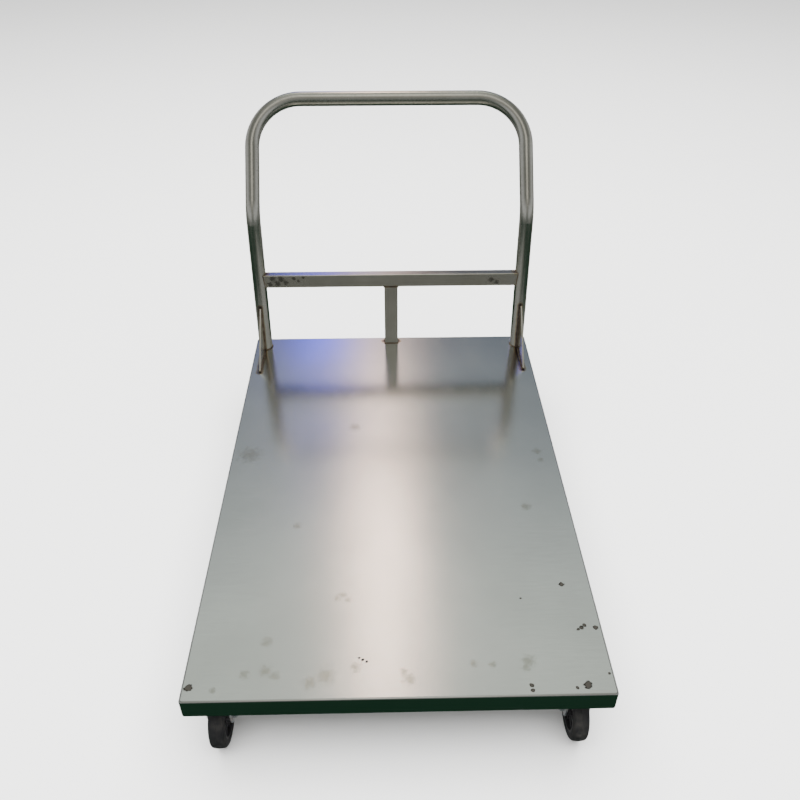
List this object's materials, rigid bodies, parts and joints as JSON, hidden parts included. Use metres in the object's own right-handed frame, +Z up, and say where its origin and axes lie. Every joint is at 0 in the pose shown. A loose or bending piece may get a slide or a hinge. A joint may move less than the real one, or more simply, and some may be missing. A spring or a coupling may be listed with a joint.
{
  "type": "flatbed platform truck",
  "caption": "Stainless flatbed platform truck: folded sheet deck, fixed hoop handle with crossbar, post and gussets, fixed casters in front and braked swivel casters at the handle.",
  "frame": {"origin": "centre of the whole truck's footprint, on the floor", "axes": "+Z up, +Y towards the handle end, +X to the right of a person who looks over the deck at the handle"},
  "size_m": [0.8, 1.412, 0.8696],
  "materials": {
    "stainless_deck": "brushed stainless sheet, lengthwise grain, scuffed",
    "stainless_tube": "satin stainless tube with heat tint at the welds",
    "stainless_frame": "mill-finish stainless tube",
    "zinc_plate": "bright zinc plate over pressed steel",
    "zinc_fastener": "zinc-plated fasteners",
    "bearing_steel": "greased bearing steel",
    "pedal_steel": "pressed steel pedal, plating worn at the tread",
    "tyre_rubber": "black rubber, dusty and scuffed",
    "wheel_plastic": "moulded dark nylon"
  },
  "bodies": {
    "truck": {"deck_sheet": "stainless_deck", "left_frame_rail": "stainless_frame", "right_frame_rail": "stainless_frame", "front_cross_member": "stainless_frame", "front_middle_cross_member": "stainless_frame", "rear_middle_cross_member": "stainless_frame", "rear_cross_member": "stainless_frame", "rear_end_member": "stainless_frame", "front_caster_pads": "stainless_frame", "rear_caster_pads": "stainless_frame", "handle_tube": "stainless_tube", "handle_crossbar": "stainless_tube", "handle_post": "stainless_tube", "left_gusset": "stainless_tube", "right_gusset": "stainless_tube", "caster_bolts": "zinc_fastener", "caster_lock_washers": "zinc_fastener", "caster_nuts": "zinc_fastener", "front_left_fork": "zinc_plate", "front_left_axle_bolt": "zinc_fastener", "front_left_axle_nut": "zinc_fastener", "front_left_axle_sleeve": "zinc_fastener", "front_right_fork": "zinc_plate", "front_right_axle_bolt": "zinc_fastener", "front_right_axle_nut": "zinc_fastener", "front_right_axle_sleeve": "zinc_fastener", "rear_left_top_plate": "zinc_plate", "rear_left_king_pin": "zinc_fastener", "rear_left_dust_ring": "zinc_plate", "rear_right_top_plate": "zinc_plate", "rear_right_king_pin": "zinc_fastener", "rear_right_dust_ring": "zinc_plate"},
    "front_left_wheel": {"front_left_tyre": "tyre_rubber", "front_left_wheel_core": "wheel_plastic", "front_left_roller_bearing": "bearing_steel"},
    "front_right_wheel": {"front_right_tyre": "tyre_rubber", "front_right_wheel_core": "wheel_plastic", "front_right_roller_bearing": "bearing_steel"},
    "rear_left_swivel": {"rear_left_fork": "zinc_plate", "rear_left_swivel_balls": "bearing_steel", "rear_left_axle_bolt": "zinc_fastener", "rear_left_axle_nut": "zinc_fastener", "rear_left_axle_sleeve": "zinc_fastener", "rear_left_brake_pin": "zinc_fastener"},
    "rear_left_wheel": {"rear_left_tyre": "tyre_rubber", "rear_left_wheel_core": "wheel_plastic", "rear_left_roller_bearing": "bearing_steel"},
    "rear_left_brake": {"rear_left_brake_pedal": "pedal_steel"},
    "rear_right_swivel": {"rear_right_fork": "zinc_plate", "rear_right_swivel_balls": "bearing_steel", "rear_right_axle_bolt": "zinc_fastener", "rear_right_axle_nut": "zinc_fastener", "rear_right_axle_sleeve": "zinc_fastener", "rear_right_brake_pin": "zinc_fastener"},
    "rear_right_wheel": {"rear_right_tyre": "tyre_rubber", "rear_right_wheel_core": "wheel_plastic", "rear_right_roller_bearing": "bearing_steel"},
    "rear_right_brake": {"rear_right_brake_pedal": "pedal_steel"}
  },
  "joints": [
    {"name": "front_left_wheel_turn", "type": "hinge", "parent": "truck", "child": "front_left_wheel", "pos_m": [-0.35, -0.64101, 0.0625], "axis": [1, 0, 0], "continuous": true},
    {"name": "front_right_wheel_turn", "type": "hinge", "parent": "truck", "child": "front_right_wheel", "pos_m": [0.35, -0.64101, 0.0625], "axis": [1, 0, 0], "continuous": true},
    {"name": "rear_left_caster_swivel", "type": "hinge", "parent": "truck", "child": "rear_left_swivel", "pos_m": [-0.35, 0.39399, 0.15], "axis": [0, 0, 1], "continuous": true},
    {"name": "rear_left_wheel_turn", "type": "hinge", "parent": "rear_left_swivel", "child": "rear_left_wheel", "pos_m": [-0.35, 0.43199, 0.0625], "axis": [1, 0, 0], "continuous": true},
    {"name": "rear_left_brake_press", "type": "hinge", "parent": "rear_left_swivel", "child": "rear_left_brake", "pos_m": [-0.35, 0.41799, 0.13241], "axis": [1, 0, 0], "range_deg": [-12, 0]},
    {"name": "rear_right_caster_swivel", "type": "hinge", "parent": "truck", "child": "rear_right_swivel", "pos_m": [0.35, 0.39399, 0.15], "axis": [0, 0, 1], "continuous": true},
    {"name": "rear_right_wheel_turn", "type": "hinge", "parent": "rear_right_swivel", "child": "rear_right_wheel", "pos_m": [0.35, 0.43199, 0.0625], "axis": [1, 0, 0], "continuous": true},
    {"name": "rear_right_brake_press", "type": "hinge", "parent": "rear_right_swivel", "child": "rear_right_brake", "pos_m": [0.35, 0.41799, 0.13241], "axis": [1, 0, 0], "range_deg": [-12, 0]}
  ]
}
